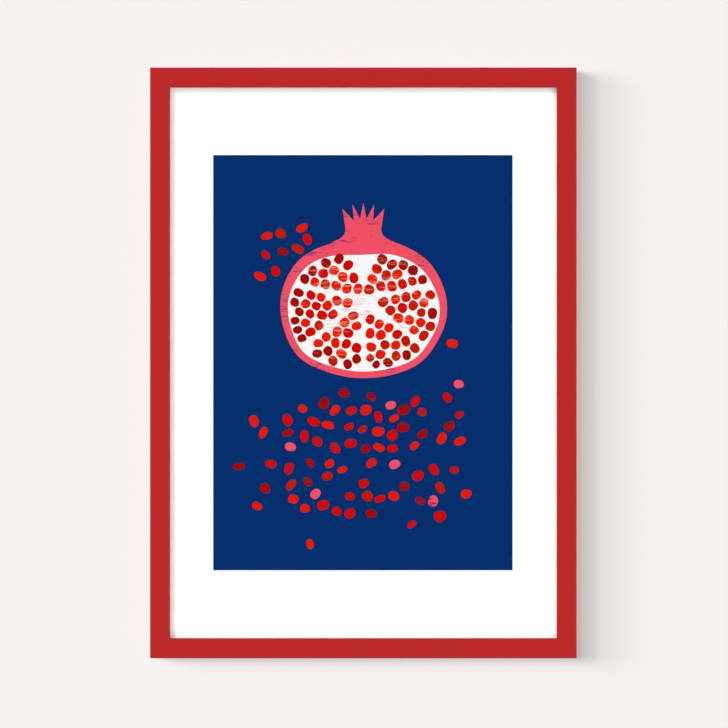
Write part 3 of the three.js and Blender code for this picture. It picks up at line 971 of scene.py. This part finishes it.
# ---------------------------------------------------------------------------------------------
# The wall and the floor. A plain painted wall that the rings and bumpers all but touch, and a pale
# floor well below. Both thin out before they end. The wall is there for the camera alone, and from
# behind it can't be seen, so that the frame's back is lit and looked at as if it were taken down.
# ---------------------------------------------------------------------------------------------
BACKDROP = "#f6f2ef"
WALL_COLOUR = "#848280"
FLOOR_COLOUR = "#dcd9d6"
WALL_GAP = 0.3 * MM
FLOOR_DROP = 0.7
STAGE_RADIUS = 2.6
FADE_FROM = 1.0
FADE_TO = 2.2
STAGE_SIDES = 96
ROOM_GLOW = 0.51
PAINT_CLOUD = 1.01


def matt_wall_paint(name, colour, middle, glow, one_sided):
    """Matt pale paint with faint roller clouds, thinning out to nothing away from its middle. Its
    glow stands for the light that the whole room sends back, and keeps the shadows pale. The
    wall's paint is darker than it looks, so that the red sides throw little colour on it."""
    material, tree, place = new_material(name)
    roller = add(tree, "TexNoise", {"Vector": place, "Scale": per_metre(250)[0], "Detail": 3.0})
    deep = hex_colour(colour)
    pale = tuple(PAINT_CLOUD * channel for channel in deep[:3]) + (1,)
    paint = add(tree, "Mix", {"Factor": roller, "A": deep, "B": pale}, data_type="RGBA")
    shader = add(tree, "BsdfPrincipled", {
        "Base Color": paint, "Roughness": 0.9, "Specular IOR Level": 0.0,
        "Emission Color": hex_colour(BACKDROP), "Emission Strength": glow})
    away = add(tree, "VectorMath", {0: place, 1: middle}, operation="DISTANCE").outputs["Value"]
    gone = add(tree, "MapRange", {
        "Value": away, "From Min": FADE_FROM, "From Max": FADE_TO},
        interpolation_type="SMOOTHSTEP")
    if one_sided:
        behind = add(tree, "NewGeometry").outputs["Backfacing"]
        gone = add(tree, "Math", {0: gone, 1: behind}, operation="MAXIMUM")
    both = add(tree, "MixShader", {0: gone, 1: shader, 2: add(tree, "BsdfTransparent")})
    add(tree, "OutputMaterial", {"Surface": both})
    return material


def stage_disc(name, middle, turn, material):
    """A round sheet of the studio, facing the way that turn takes +Z."""
    bm = bmesh.new()
    bmesh.ops.create_circle(bm, cap_ends=True, segments=STAGE_SIDES, radius=STAGE_RADIUS,
                            matrix=Matrix.Translation(middle) @ turn)
    mesh = bpy.data.meshes.new(name)
    bm.to_mesh(mesh)
    bm.free()
    mesh.materials.append(material)
    disc = bpy.data.objects.new(name, mesh)
    bpy.context.scene.collection.objects.link(disc)
    return disc


wall_middle = (0, cad_high.y + WALL_GAP, middle_z)
wall = stage_disc("wall", wall_middle, Matrix.Rotation(math.pi / 2, 4, "X"), matt_wall_paint(
    "wall_paint", WALL_COLOUR, wall_middle, ROOM_GLOW, one_sided=True))
wall.visible_shadow = False
wall.visible_diffuse = False
wall.visible_glossy = False
floor_middle = (0, 0, cad_low.z - FLOOR_DROP)
floor = stage_disc("floor", floor_middle, Matrix.Identity(4), matt_wall_paint(
    "floor_paint", FLOOR_COLOUR, floor_middle, 0.0, one_sided=False))
floor.visible_shadow = False
floor.visible_diffuse = False
floor.visible_glossy = False

# ---------------------------------------------------------------------------------------------
# The light. Broad soft lamps: a key from the upper left, four weak fills round the camera, which
# the glass doesn't mirror into it, one for the right side and two for the back. Three more light
# only the wall, from the left. The surroundings are dark in front and bright behind.
# ---------------------------------------------------------------------------------------------
DARK_FRONT = 0.015
BRIGHT_BACK = 0.45

scene = bpy.context.scene
world = bpy.data.worlds.new("studio")
scene.world = world
world.use_nodes = True
sky = world.node_tree
sky.nodes.clear()
way = add(sky, "SeparateXYZ", {0: add(sky, "TexCoord").outputs["Generated"]})
behind = add(sky, "MapRange", {
    "Value": way.outputs["Y"], "From Min": -0.1, "From Max": 0.5, "To Min": DARK_FRONT,
    "To Max": BRIGHT_BACK})
room = add(sky, "Background", {"Color": (1, 1, 1, 1), "Strength": behind})
backdrop = add(sky, "Background", {"Color": hex_colour(BACKDROP), "Strength": 1.0})
ray = add(sky, "LightPath").outputs["Is Camera Ray"]
add(sky, "OutputWorld", {"Surface": add(sky, "MixShader", {0: ray, 1: room, 2: backdrop})})

# the wall is lit by its own three lamps and by no other, which light linking sees to
everything_else = bpy.data.collections.new("everything_else")
wall_alone = bpy.data.collections.new("wall_alone")
for group, state in ((everything_else, "EXCLUDE"), (wall_alone, "INCLUDE")):
    group.objects.link(wall)
    group.collection_objects[0].light_linking.link_state = state

LAMPS = (
    # name, the way from the frame to the lamp, strength, how wide it looks in degrees
    ("key", (-1.1, -1.0, 1.1), 2.7, 46),
    ("fill_left", (-0.72, -1.0, 0.0), 0.78, 30),
    ("fill_right", (0.72, -1.0, 0.0), 1.15, 30),
    ("fill_above", (0.0, -1.0, 0.72), 0.55, 30),
    ("fill_below", (0.0, -1.0, -0.72), 1.05, 30),
    ("side_fill", (1.0, 0.0, 0.1), 1.0, 40),
    ("back_key", (-0.8, 1.0, 1.0), 1.9, 30),
    ("back_fill", (0.9, 1.0, 0.2), 0.7, 60),
    ("wash_steep", (-0.27, -0.95, 0.17), 1.88, 20),
    ("wash_middle", (-0.61, -0.78, 0.17), 2.96, 20),
    ("wash_shallow", (-0.87, -0.46, 0.17), 4.28, 24),
)
for name, towards, strength, breadth in LAMPS:
    lamp_data = bpy.data.lights.new(name, "SUN")
    lamp_data.energy = strength
    lamp_data.angle = math.radians(breadth)
    lamp = bpy.data.objects.new(name, lamp_data)
    lamp.rotation_euler = Vector(towards).to_track_quat("Z", "Y").to_euler()
    lamp.light_linking.receiver_collection = (
        wall_alone if name.startswith("wash") else everything_else)
    scene.collection.objects.link(lamp)

# ---------------------------------------------------------------------------------------------
# The camera. Straight in front of the frame and a little over three metres away, with a long lens,
# so that the rails' inner sides hardly show.
# ---------------------------------------------------------------------------------------------
CAMERA_AWAY = 3.2136
CAMERA_ASIDE = 0.7 * MM
CAMERA_DROP = 1.2 * MM

camera_data = bpy.data.cameras.new("camera")
camera_data.lens = 150
camera_data.sensor_width = 36
camera = bpy.data.objects.new("camera", camera_data)
camera.location = (CAMERA_ASIDE, cad_low.y - CAMERA_AWAY, middle_z - CAMERA_DROP)
camera.rotation_euler = (math.pi / 2, 0, 0)
scene.collection.objects.link(camera)
scene.camera = camera
scene.view_settings.view_transform = "Standard"
